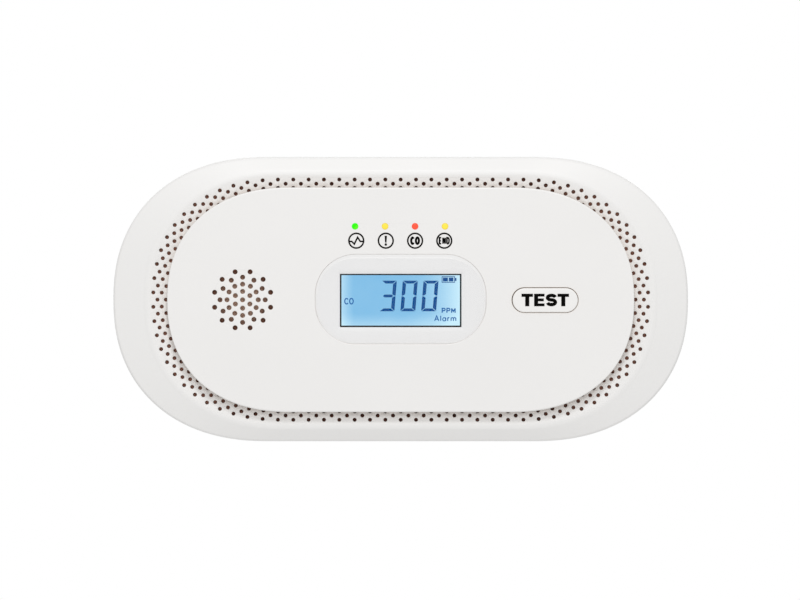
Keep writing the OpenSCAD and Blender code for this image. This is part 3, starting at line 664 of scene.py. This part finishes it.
def build_face_plate():
    s = Shape()
    top, under = PLATE_Z, PLATE_UNDER
    loops = stack(plate_rim, [(0.6, top)])
    loops += rounded(plate_rim, [(0.5, top), (0.02, top), (0, top - 0.5)], 7)
    loops += stack(plate_oval, [(0, under + 0.3)])
    loops += rounded(plate_oval, [(0, under + 0.25), (0, under), (0.25, under)], 3)
    front, back = s.skin(loops)
    openings = [(x, y, 0.65, 20, 0.08) for x, y in grille_points()]
    openings += [(x, LIGHT_Y, 0.87, 24, 0.04) for x in LIGHT_X]
    pairs = [drilled(s, *opening, top, under) for opening in openings]
    button_hole = grown_track(17.5, 6.6, BUTTON_X - 0.05, -0.06)
    pairs.append(s.skin(stack(button_hole, [(0.12, top), (0.04, top - 0.04), (0, top - 0.12), (0, under)])))
    floor = top - 1.3
    pocket = [(0.17, 0.13, top), (0.10, 0.08, top - 0.04), (0.04, 0.03, top - 0.13), (0.0, 0.0, top - 0.24),
              (0.0, 0.0, floor)]
    walls = [[(x, y - drop, z) for x, y in lens_outline(g)] for g, drop, z in pocket]
    pocket_top, pocket_floor = s.skin(walls)
    window_top, window_low = s.skin(stack(window_outline, [(0.1, floor), (0, top - 1.42), (0, under)]))
    s.flat(pocket_floor, [window_top])
    pairs.append((pocket_top, window_low))
    s.flat(front, [p[0] for p in pairs])
    s.flat(back, [p[1] for p in pairs])
    root = under + 0.2
    s.skin(stack(plate_oval, [(3.2, root), (3.2, FLOOR_Z), (6, FLOOR_Z), (6, root), (3.2, root)]))
    for sx, sy in CORNERS:
        s.turned([(1.5, under + 0.3), (1.5, 30.7), (1.25, 30.3)], 20, upright(sx * POST[0], sy * POST[1]))
    s.piece("plate_shell", "housing", ["plate_white"], ["face_plate"])


def build_lens():
    s = Shape()
    low, top = PLATE_Z - 0.5, PLATE_Z
    low_loop, ledge = s.skin(stack(lens_outline, [(-0.10, low), (-0.05, low + 0.06), (-0.05, top - 0.2)]))
    s.current = 1
    loops = [ledge] + stack(lens_outline, [(-0.07, top - 0.13), (-0.11, top - 0.11)])
    loops += rounded(lens_crown, [(0.08, top - 0.10), (0, top), (-0.16, top)], 6)
    _, top_loop = s.skin(loops)
    s.current = 0
    s.flat(low_loop)
    s.flat(top_loop)
    lens = s.piece("lens_cover", "housing", ["lens_clear", "lens_edge"], ["display_lens"])
    lens.visible_shadow = False
    lens.visible_diffuse = False

    s = Shape()
    under = PLATE_Z - 1.28

    def opening(g):
        return round_rect(WINDOW[0] + 2 * g, WINDOW[1] + 2 * g, 0.2 + g * 0.7, y=WINDOW_Y)

    s.collar(stack(lens_outline, [(-0.03, low - 0.02), (0.0, low - 0.06), (0.0, under)]),
             stack(opening, [(1.6, low - 0.02), (0.8, low - 0.06), (0.12, low - 0.2), (0.03, low - 0.3),
                             (0.03, under)]))
    s.piece("lens_tape", "housing", ["white_tape"], ["lens_adhesive"])


# ---- Display ----

def stroke(shape, path, width, z, thick, closed=False):
    """Thin raised line of even width, with mitred corners, along a path of points."""
    n = len(path)
    left, right = [], []
    for i, p in enumerate(path):
        before = path[i - 1] if i or closed else None
        after = path[(i + 1) % n] if i < n - 1 or closed else None
        spans = [(a, b) for a, b in ((before, p), (p, after)) if a is not None and b is not None]
        ways = [(Vector(b) - Vector(a)).normalized() for a, b in spans]
        normals = [Vector((-w.y, w.x)) for w in ways]
        out = sum(normals, Vector((0, 0))).normalized()
        reach = width / 2 / max(0.4, out.dot(normals[0]))
        left.append((p[0] + out.x * reach, p[1] + out.y * reach))
        right.append((p[0] - out.x * reach, p[1] - out.y * reach))
    ridge = ((left, z), (left, z + thick), (right, z + thick), (right, z))
    rows = [shape.add(raised(side, height)) for side, height in ridge]
    last = n if closed else n - 1
    for i in range(last):
        j = (i + 1) % n
        for a, b in zip(rows, rows[1:] + rows[:1]):
            shape.face((a[i], a[j], b[j], b[i]))
    if not closed:
        shape.face([r[0] for r in rows])
        shape.face([r[-1] for r in rows])


def block(shape, points, z, thick):
    """Thin raised patch with a plain outline."""
    low, high = shape.skin([raised(points, z), raised(points, z + thick)])
    shape.face(low)
    shape.face(high)


def bow(cx, cy, rx, ry, first, last, steps=14):
    """Part of an ellipse from one angle to another, in degrees."""
    return [(cx + rx * math.cos(math.radians(first + (last - first) * i / steps)),
             cy + ry * math.sin(math.radians(first + (last - first) * i / steps))) for i in range(steps + 1)]


# Line letters in a box one unit wide and one high
LETTERS = {
    "A": [[(0, 0), (0.5, 1), (1, 0)], [(0.18, 0.33), (0.82, 0.33)]],
    "C": [bow(0.5, 0.5, 0.5, 0.5, 36, 324)],
    "D": [[(0, 0), (0, 1), (0.45, 1)] + bow(0.45, 0.5, 0.55, 0.5, 80, -80, 10) + [(0.45, 0), (0, 0)]],
    "E": [[(1, 1), (0, 1), (0, 0), (1, 0)], [(0, 0.5), (0.85, 0.5)]],
    "M": [[(0, 0), (0, 1)], [(0, 0.98), (0.5, 0.3), (1, 0.98)], [(1, 1), (1, 0)]],
    "N": [[(0, 0), (0, 1)], [(0, 1), (1, 0)], [(1, 0), (1, 1)]],
    "O": [bow(0.5, 0.5, 0.5, 0.5, 0, 342, 19)],
    "P": [[(0, 0), (0, 1), (0.6, 1)] + bow(0.6, 0.74, 0.4, 0.26, 80, -80, 8) + [(0.6, 0.48), (0, 0.48)]],
    "a": [bow(0.45, 0.3, 0.45, 0.32, 20, 340, 12), [(0.92, 0.66), (0.92, 0)]],
    "l": [[(0.5, 0), (0.5, 1)]],
    "m": [[(0, 0), (0, 0.64)], [(0, 0.52), (0.25, 0.66), (0.5, 0.52), (0.5, 0)],
          [(0.5, 0.52), (0.75, 0.66), (1, 0.52), (1, 0)]],
    "r": [[(0.1, 0), (0.1, 0.66)], [(0.1, 0.45), (0.45, 0.64), (0.9, 0.62)]],
}


def write(shape, text, x, y, height, widths, gap, line, z, thick):
    """Line letters centred on x and y. widths gives each letter's width."""
    total = sum(widths) + gap * (len(text) - 1)
    start = x - total / 2
    for letter, width in zip(text, widths):
        for path in LETTERS[letter]:
            points = [(start + px * (width - line) + line / 2,
                       y - height / 2 + py * (height - line) + line / 2) for px, py in path]
            stroke(shape, points, line, z, thick, closed=letter == "O")
        start += width + gap


def digit_segments(shape, x, y, lit, z, thick):
    """Seven-segment digit, slanted a little, with mitred gaps between its bars."""
    w, h, bar, post, gap = 3.94, 8.04, 0.75, 0.92, 0.11
    x0, x1, y1 = -w / 2, w / 2, h / 2

    def lean(points):
        return [(x + px + py * 0.081, y + py) for px, py in points]

    top = [(x0 + gap, y1), (x1 - gap, y1), (x1 - post - gap, y1 - bar), (x0 + post + gap, y1 - bar)]
    bottom = [(px, -py) for px, py in top]
    right_top = [(x1, y1 - gap), (x1, gap), (x1 - post * 0.45, gap), (x1 - post, gap + bar / 2),
                 (x1 - post, y1 - bar - gap)]
    left_top = [(-px, py) for px, py in right_top]
    right_low = [(px, -py) for px, py in right_top]
    left_low = [(-px, -py) for px, py in right_top]
    middle = [(x0 + post * 0.55 + gap, 0), (x0 + post + gap, bar / 2), (x1 - post - gap, bar / 2),
              (x1 - post * 0.55 - gap, 0), (x1 - post - gap, -bar / 2), (x0 + post + gap, -bar / 2)]
    bars = {"a": top, "b": right_top, "c": right_low, "d": bottom, "e": left_low, "f": left_top, "g": middle}
    for name in lit:
        block(shape, lean(bars[name]), z, thick)


def build_display():
    top = FLOOR_Z
    panel = Shape()
    middle = WINDOW_Y + 1.1
    glass = grown(36.9, 19, 0.3, y=WINDOW_Y, steps=3)
    rear = grown(36.9, 16.8, 0.3, y=middle, steps=3)
    polariser = grown(35.9, 15.8, 0.3, y=middle, steps=3)
    low, _ = panel.skin(stack(glass, [(0, top - 1.9), (0, top - 0.97)]) + stack(rear, [(0, top - 0.95)]))
    _, face = panel.skin(stack(rear, [(0, top - 0.95), (0, top - 0.2)])
                         + stack(polariser, [(0, top - 0.2), (0, top - 0.03), (-0.03, top)]))
    panel.flat(low)
    panel.flat(face)
    panel.piece("lcd_panel", "housing", ["lcd_panel"], ["lcd_glass"])

    seal = Shape()
    opening = grown(31.1, 13.24, 0.1, y=WINDOW_Y + 0.03)
    seal.collar(stack(grown(36.3, 18.4, 0.8, y=WINDOW_Y), [(0, top + 0.5), (0, top)]),
                stack(opening, [(0.05, top + 0.5), (0, top + 0.44), (0, top)]))
    seal.piece("seal_frame", "housing", ["black_foam"], ["lcd_seal"])

    marks = Shape()
    z, thick = top - 0.02, 0.07
    for x, lit in ((-3.3, "abcdg"), (2.2, "abcdef"), (7.65, "abcdef")):
        digit_segments(marks, x, 0.98, lit, z, thick)
    stroke(marks, [(10.87, 4.56), (14.17, 4.56), (14.17, 6.06), (10.87, 6.06)], 0.18, z, thick, closed=True)
    for x, width, height in ((11.75, 1.30, 1.02), (13.25, 1.20, 1.02), (14.42, 0.46, 0.76)):
        ends = ((-1, -1), (1, -1), (1, 1), (-1, 1))
        block(marks, [(x + sx * width / 2, 5.31 + sy * height / 2) for sx, sy in ends], z, thick)
    marks.current = 1
    write(marks, "CO", -13.58, -0.40, 1.76, [1.20, 1.22], 0.08, 0.29, z, thick)
    write(marks, "PPM", 12.6, -2.85, 1.46, [1.06, 1.06, 1.2], 0.18, 0.30, z, thick)
    write(marks, "Alarm", 11.7, -4.89, 1.6, [1.34, 0.5, 1.12, 0.8, 1.5], 0.14, 0.26, z, thick)
    marks.piece("lcd_marks", "housing", ["segment_blue", "letter_blue"])


# ---- Indicators ----

def build_lights():
    top = PLATE_Z
    profile = [(0.55, 23.4), (0.85, 23.7), (0.85, 29.85), (1.6, 29.85), (1.6, 30.85), (0.85, 30.85),
               (0.85, top - 0.5), (0.81, top - 0.15), (0.78, top - 0.01), (0.6, top + 0.07),
               (0.3, top + 0.12)]
    lights = (("power", "green_light"), ("fault", "yellow_light"), ("alarm", "red_light"),
              ("end", "yellow_light"))
    for light_x, (name, slot) in zip(LIGHT_X, lights):
        s = Shape()
        s.turned(profile, 28, upright(light_x, LIGHT_Y))
        s.piece("pipe_" + name, "housing", [slot], ["light_pipe_" + name])

    s = Shape()
    face = top + 0.01
    z, thick, line = face - 0.015, 0.02, 0.42
    y = 15.53
    centres = (-11.66, -3.91, 3.78, 11.44)
    for x in centres:
        stroke(s, circle(x, y, 1.93, 48), line, face - 0.02, thick + 0.01, closed=True)
    x = centres[0]
    zigzag = [(-1.85, -0.19), (-1.17, -0.19), (-0.52, -0.89), (0.35, 0.89), (1.05, -0.19), (1.85, -0.19)]
    stroke(s, [(x + px, y + py) for px, py in zigzag], line, z, thick)
    x = centres[1]
    wedge = [(-0.31, 1.30), (-0.19, -0.50), (0.19, -0.50), (0.31, 1.30)]
    block(s, [(x + px, y + py) for px, py in wedge], z, thick)
    block(s, circle(x, y - 1.0, 0.34, 16), z, thick)
    write(s, "CO", centres[2], y, 2.24, [1.26, 1.38], -0.03, 0.58, z, thick)
    write(s, "END", centres[3], y, 2.0, [0.88, 0.98, 0.98], 0.05, line, z, thick)
    s.piece("icon_print", "housing", ["print_black"])


# ---- Button ----

def build_button():
    s = Shape()
    crown = BUTTON_Z
    flange = PLATE_UNDER - 0.05
    track = grown_track(17.2, 6.38, BUTTON_X, -0.1)
    loops = stack(track, [(-1.2, crown), (-0.7, crown - 0.005)])
    loops += rounded(track, [(-0.35, crown - 0.02), (0, crown - 0.02), (0, crown - 0.4)], 7)
    loops += stack(track, [(0, flange), (1.25, flange), (1.3, flange - 0.1), (1.3, flange - 1),
                           (-1.05, flange - 1)])
    top, under = s.skin(loops)
    s.flat(top)
    s.fan(under)
    s.turned([(2.0, flange - 0.8), (2.0, 27.15), (1.85, 27)], 24, upright(BUTTON_X, 0))
    s.piece("button_cap", "button", ["button_white"], ["test_button"])

    s = Shape()
    z, thick = crown - 0.005, 0.025
    half, foot = 1.61, -1.68

    def t_letter(x):
        w, bar, stem = 3.0, 0.82, 1.08
        m, under_bar = x + w / 2, half - bar
        block(s, [(x, half), (x, under_bar), (m - stem / 2, under_bar), (m - stem / 2, foot),
                  (m + stem / 2, foot), (m + stem / 2, under_bar), (x + w, under_bar), (x + w, half)],
              z, thick)

    def e_letter(x):
        w, stem, bar = 2.75, 1.06, 0.74
        inner, middle, right = x + stem, x + w * 0.93, x + w
        block(s, [(x, half), (x, foot), (right, foot), (right, foot + bar), (inner, foot + bar),
                  (inner, -bar / 2), (middle, -bar / 2), (middle, bar / 2), (inner, bar / 2),
                  (inner, half - bar), (right, half - bar), (right, half)], z, thick)

    def s_letter(x):
        w, line = 2.98, 0.90
        rx, ry = (w - line) / 2, (3.24 - line) / 4
        m = x + w / 2
        upper = bow(m, ry, rx, ry, 12, 270, 20)
        lower = bow(m, -ry - 0.04, rx, ry + 0.04, 90, -168, 20)
        stroke(s, upper + lower[1:], line, z, thick)

    t_letter(31.72)
    e_letter(35.02)
    s_letter(38.08)
    t_letter(41.18)
    s.piece("button_print", "button", ["print_black"])


# ---- Rear cover ----

def keyhole(x, grow, sides=16):
    """Outline of a keyhole: round entry below, slot with a round end above."""
    entry, slot, rise = 4.0 + grow, 2.1 + grow, 7.0
    reach = math.pi - math.asin(slot / entry)
    turns = [-reach + 2 * reach * i / (2 * sides) for i in range(2 * sides + 1)]
    points = [(x + entry * math.sin(t), -entry * math.cos(t)) for t in turns]
    turns = [math.pi * i / sides for i in range(sides + 1)]
    return points + [(x + slot * math.cos(t), rise + slot * math.sin(t)) for t in turns]


def build_rear_cover():
    s = Shape()
    wall = 2.25
    loops = stack(body_oval, [(5.5, 0)])
    loops += rounded(body_oval, [(4.6, 0), (2.6, 0.02), (2.0, 1.6)], 7)
    loops += stack(body_oval, [(1.7, 2.6), (0.8, 8), (0.4, PARTING_Z - 0.35)])
    rim, tongue = PARTING_Z - 0.02, PARTING_Z + 2
    loops += rounded(body_oval, [(0.4, PARTING_Z - 0.3), (0.38, rim), (0.65, rim)], 3)
    loops += stack(body_oval, [(wall, rim), (wall, tongue), (wall + 1.2, tongue),
                               (wall + 1.2, PARTING_Z - 2), (3, 8), (3.9, 3), (5.5, 2)])
    back, inner = s.skin(loops)
    back_holes, inner_holes = [], []

    def hole(loops):
        first, last = s.skin(loops)
        back_holes.append(first)
        inner_holes.append(last)

    well = [(3.25, 0), (3.14, 0.06), (3.1, 0.2), (3.1, HEAD_Z), (1.6, HEAD_Z), (1.6, 12), (3.8, 12), (3.9, 2)]
    for sx in (1, -1):
        hole(stack(lambda g: keyhole(sx * KEYHOLE_X, g), [(0.12, 0), (0.03, 0.04), (0, 0.15), (0, 2)]))
        for sy in (1, -1):
            hole(stack(lambda r: circle(sx * BOSS[0], sy * BOSS[1], r, 32), well))

    ledge_z = 1.8

    def recess(grow, z, knuckle_z=None):
        """Door recess outline, with a finger notch below; knuckle_z is the depth along its hinge side."""
        w, h = BAY[0] + 2 + 2 * grow, BAY[1] + 2 + 2 * grow
        points = round_rect(w, h, 0.6 + max(grow, 0), steps=5)
        tab = [(-7.0, -h / 2), (-6.6, -h / 2 - 2.2), (6.6, -h / 2 - 2.2), (7.0, -h / 2)]
        high = [p for p in points if p[1] >= 0]
        left = [p for p in points if p[1] < 0 and p[0] < 0]
        right = [p for p in points if p[1] < 0 and p[0] >= 0]
        hinge_end = KNUCKLE_ROW - 0.05
        out = high + [(-w / 2, hinge_end)] + left + tab + right + [(w / 2, hinge_end)]
        return [(x, y, knuckle_z if knuckle_z is not None and y > KNUCKLE_ROW else z) for x, y in out]

    def bay(z):
        """Cell bay outline with the recess's number of points."""
        points = []
        for x, y, _ in recess(0, 0):
            points.append((max(-BAY[0] / 2, min(BAY[0] / 2, x)), max(-BAY[1] / 2, min(BAY[1] / 2, y)), z))
        return points

    loops = [recess(0.10, 0), recess(0.03, 0.04), recess(0, 0.12), recess(0, ledge_z, 3.45)]
    first, last = s.skin(loops + [bay(ledge_z + 0.01), bay(BAY_Z)])
    back_holes.append(first)
    s.fan(last)
    block_out = round_rect(63.8, 49.7, 0.6, steps=3)
    case = round_rect(61.8, 47.7, 0.6, steps=3)
    lid = round_rect(61.4, 47.3, 0.6, steps=3)
    first, last = s.skin([raised(block_out, 2), raised(block_out, 4.6), raised(case, 4.6),
                          raised(case, BAY_Z + 1.3), raised(lid, BAY_Z + 1.5)])
    inner_holes.append(first)
    s.flat(last)
    s.flat(back, back_holes)
    s.flat(inner, inner_holes)
    s.piece("back_shell", "housing", ["shell_white"], ["rear_cover"])


# ---- Battery door ----

def build_door():
    s = Shape()
    length, low_y = 60.2, -23.05
    hinge_y, knuckle = HINGE
    def outline(grow):
        """Plate outline with the latch tongue."""
        w = length / 2 + grow
        r = 0.5
        low = low_y - grow

        def corner(cx, first):
            turns = [math.radians(first + 90 * i / 5) for i in range(6)]
            return [(cx + r * math.cos(a), low + r + r * math.sin(a)) for a in turns]

        tip = low_y - 1.6 - grow
        tongue = [(-6 - grow, low), (-6 - grow, tip), (6 + grow, tip), (6 + grow, low)]
        return corner(w - r, 270) + [(w, hinge_y), (-w, hinge_y)] + corner(-w + r, 180) + tongue

    back, inner = s.skin(stack(outline, [(-0.3, 0), (-0.09, 0.09), (0, 0.3), (0, 1.45), (-0.15, 1.6)]))
    holes = []

    def sunk(loops):
        """Pocket with a flat bottom."""
        first, last = s.skin(loops)
        holes.append(first)
        s.flat(last)

    sunk(stack(grown(44, 28, 0.8, 0, LABEL_Y, 5), [(0.05, 0), (0, 0.06), (0, 0.2)]))
    for k in range(4):
        sunk(stack(grown(16, 0.7, 0.34, 0, -17.9 - 1.35 * k, 5), [(0.12, 0), (0.03, 0.1), (-0.1, 0.36)]))
    s.flat(back, holes)
    s.flat(inner)
    half = length / 2
    s.turned([(0.8, -half - 1.4), (0.9, -half - 1.25), (0.9, -half), (1.5, -half), (1.6, -half + 0.15),
              (1.6, half - 0.15), (1.5, half), (0.9, half), (0.9, half + 1.25), (0.8, half + 1.4)],
             32, lambda r, a, h: (h, hinge_y + r * math.cos(a), knuckle + r * math.sin(a)))
    s.piece("door_panel", "door", ["shell_white"], ["battery_door"])

    s = Shape()
    low, high = s.skin(stack(grown(43.6, 27.6, 0.6, 0, LABEL_Y, 5), [(0, 0.19), (0, 0.06)]))
    s.flat(low)
    s.flat(high)
    s.current = 1
    stroke(s, round_rect(40.8, 24.8, 0.8, 0, LABEL_Y, 4), 0.25, 0.04, 0.03, closed=True)
    for y in (4.2, -9.5):
        stroke(s, [(-20.2, y), (20.2, y)], 0.2, 0.04, 0.03)
    s.piece("label_sheet", "door", ["label_paper", "print_grey"], ["rating_label"])


# ---- Cells and springs ----

def build_cells():
    tip = BAY[0] / 2 - 0.4
    for number, row, side in ((1, 1, 1), (2, 0, -1), (3, -1, 1)):
        s = Shape()

        def place(r, a, h, side=side, row=row):
            return (side * (tip - h), row * CELL_PITCH + r * math.cos(a), CELL_Z + r * math.sin(a))

        end, r = 50.48, CELL_R
        parts = [
            (2, [(2.2, 0.02), (2.6, 0.12), (2.7, 0.35), (2.7, 0.95), (3.1, 1.0), (6.2, 1.0)]),
            (0, [(6.2, 1.0), (6.75, 1.0), (7.1, 1.12), (r, 1.45), (r, 12.0)]),
            (1, [(r, 12.0), (r - 0.02, 12.1), (r - 0.02, 16.9), (r, 17.0)]),
            (0, [(r, 17.0), (r, end - 0.5), (7.1, end - 0.15), (6.8, end)]),
            (2, [(6.8, end), (6.3, end), (6.2, end - 0.12), (1.0, end - 0.12)]),
        ]
        rows = []
        for finish, profile in parts:
            s.current = finish
            loops = [[place(pr, 2 * math.pi * i / 48, h) for i in range(48)] for pr, h in profile]
            rows.append(s.skin(loops))
        s.current = 2
        s.fan(rows[0][0])
        s.fan(rows[-1][1])
        s.piece(f"cell_{number}", "housing", ["cell_sleeve", "cell_band", "cell_end"],
                [f"battery_{number}"])

    s = Shape()
    start = BAY[0] / 2 - 0.78
    span, turns, per_turn = 6.74, 3.5, 36
    for row, side in ((1, -1), (0, 1), (-1, -1)):
        path = []
        steps = int(turns * per_turn)
        for i in range(steps + 1):
            f = i / steps
            a = 2 * math.pi * i / per_turn
            r = 4 - 1.6 * f
            path.append((side * (start - span * f), row * CELL_PITCH + r * math.cos(a),
                         CELL_Z + r * math.sin(a)))
        s.tube(path, 0.35, 10)
    s.piece("spring_coils", "housing", ["nickel_wire"], ["contact_springs"])


build_front_cover()
build_face_plate()
build_lens()
build_display()
build_lights()
build_button()
build_rear_cover()
build_door()
build_cells()


# ---- Finishes of the CAD nodes that stay ----

FINISH = {
    "lcd_backlight": "light_guide", "lcd_frame": "frame_plastic", "lcd_connector": "elastomer",
    "vent_screen": "screen_fabric", "grille_screen": "grille_fabric",
    "tact_switch": "black_plastic", "tact_plunger": "black_plastic", "led_power": "led_white",
    "led_fault": "led_white", "led_alarm": "led_white", "led_end": "led_white",
    "main_board": "board_laminate", "microcontroller": "black_plastic", "inductor": "ferrite",
    "capacitors": "capacitor_can", "co_sensor": "sensor_case", "sensor_filter_cap": "black_plastic",
    "sounder_housing": "sounder_case", "piezo_disc": "brass_disc", "sounder_gasket": "black_foam",
    "contact_plates": "nickel_wire", "battery_leads": "lead_insulation",
    "cover_screws": "screw_steel", "board_screws": "screw_steel",
}
SOFTENED = {
    "cover_screws": 0.12, "contact_plates": 0.08, "tact_switch": 0.1, "lcd_frame": 0.1, "main_board": 0.06,
    "capacitors": 0.3, "co_sensor": 0.25, "sensor_filter_cap": 0.15, "microcontroller": 0.06,
    "board_screws": 0.1, "sounder_housing": 0.15,
}
for node, finish in FINISH.items():
    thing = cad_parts.get(node)
    if thing is None:
        continue
    thing.data.materials.clear()
    thing.data.materials.append(M[finish])
    if node in SOFTENED:
        bevel = thing.modifiers.new("edges", "BEVEL")
        bevel.width = SOFTENED[node] * 0.001
        bevel.segments = 2
        bevel.limit_method = "ANGLE"
        bevel.angle_limit = math.radians(40)
        bevel.use_clamp_overlap = True


# ---- Studio ----

def aimed(name, data, target, elevation, distance):
    """Light or camera in front of its target and above it, looking at it."""
    angle = math.radians(elevation)
    direction = Vector((0, -math.cos(angle), math.sin(angle)))
    made = placed(name, data)
    made.location = target + direction * distance
    made.rotation_euler = direction.to_track_quat("Z", "Y").to_euler()
    return made


def build_studio():
    world = bpy.data.worlds.new("studio")
    scene.world = world
    world.use_nodes = True
    nodes, links = world.node_tree.nodes, world.node_tree.links
    seen = settle(nodes["Background"], Color=(1, 1, 1, 1), Strength=1.0)
    lighting = added(nodes, "Background", Color=(1.0, 0.998, 0.995, 1), Strength=0.66)
    path = added(nodes, "LightPath").outputs
    looked_at = maths(nodes, links, "MAXIMUM", path["Is Camera Ray"], path["Is Glossy Ray"], clamp=False)
    mix_shaders(nodes, links, looked_at, lighting.outputs["Background"], seen.outputs["Background"],
                "World Output")

    distance = 1.0
    for name, elevation, size, light in (("key", 47, 0.2, 0.292), ("front_fill", 25, 0.4, 0.13),
                                         ("top_fill", 97, 0.4, 0.04)):
        data = bpy.data.lights.new(name, "AREA")
        data.shape = "DISK"
        data.size = size
        data.energy = light * (math.pi * distance) ** 2
        lamp = aimed(name, data, at((0, 0, PLATE_Z)), elevation, distance)
        lamp.visible_camera = False

    floor_mesh = bpy.data.meshes.new("floor")
    work = bmesh.new()
    bmesh.ops.create_circle(work, cap_ends=True, segments=96, radius=1.0)
    work.to_mesh(floor_mesh)
    work.free()
    floor = placed("floor", floor_mesh)
    floor.location = (0, 0, -0.25)
    paint, nodes, links, shader = blank("floor_paint")
    settle(shader, Base_Color=(0.95, 0.95, 0.95, 1), Roughness=0.9)
    length = added(nodes, "VectorMath")
    length.operation = "LENGTH"
    links.new(added(nodes, "TexCoord").outputs["Object"], length.inputs[0])
    fade = ramp(nodes, links, length.outputs["Value"], 0.35, 0.98)
    from_below = added(nodes, "NewGeometry").outputs["Backfacing"]
    mix_shaders(nodes, links, maths(nodes, links, "MAXIMUM", fade, from_below), shader.outputs["BSDF"],
                added(nodes, "BsdfTransparent").outputs["BSDF"], "Material Output")
    floor_mesh.materials.append(paint)

    data = bpy.data.cameras.new("camera")
    data.lens = 800
    data.sensor_width = 36
    data.clip_start = 0.05
    scene.camera = aimed("camera", data, Vector((-0.00018, -0.0356, -0.00004)), 0.9, 4.667)
    scene.view_settings.view_transform = "Standard"


build_studio()
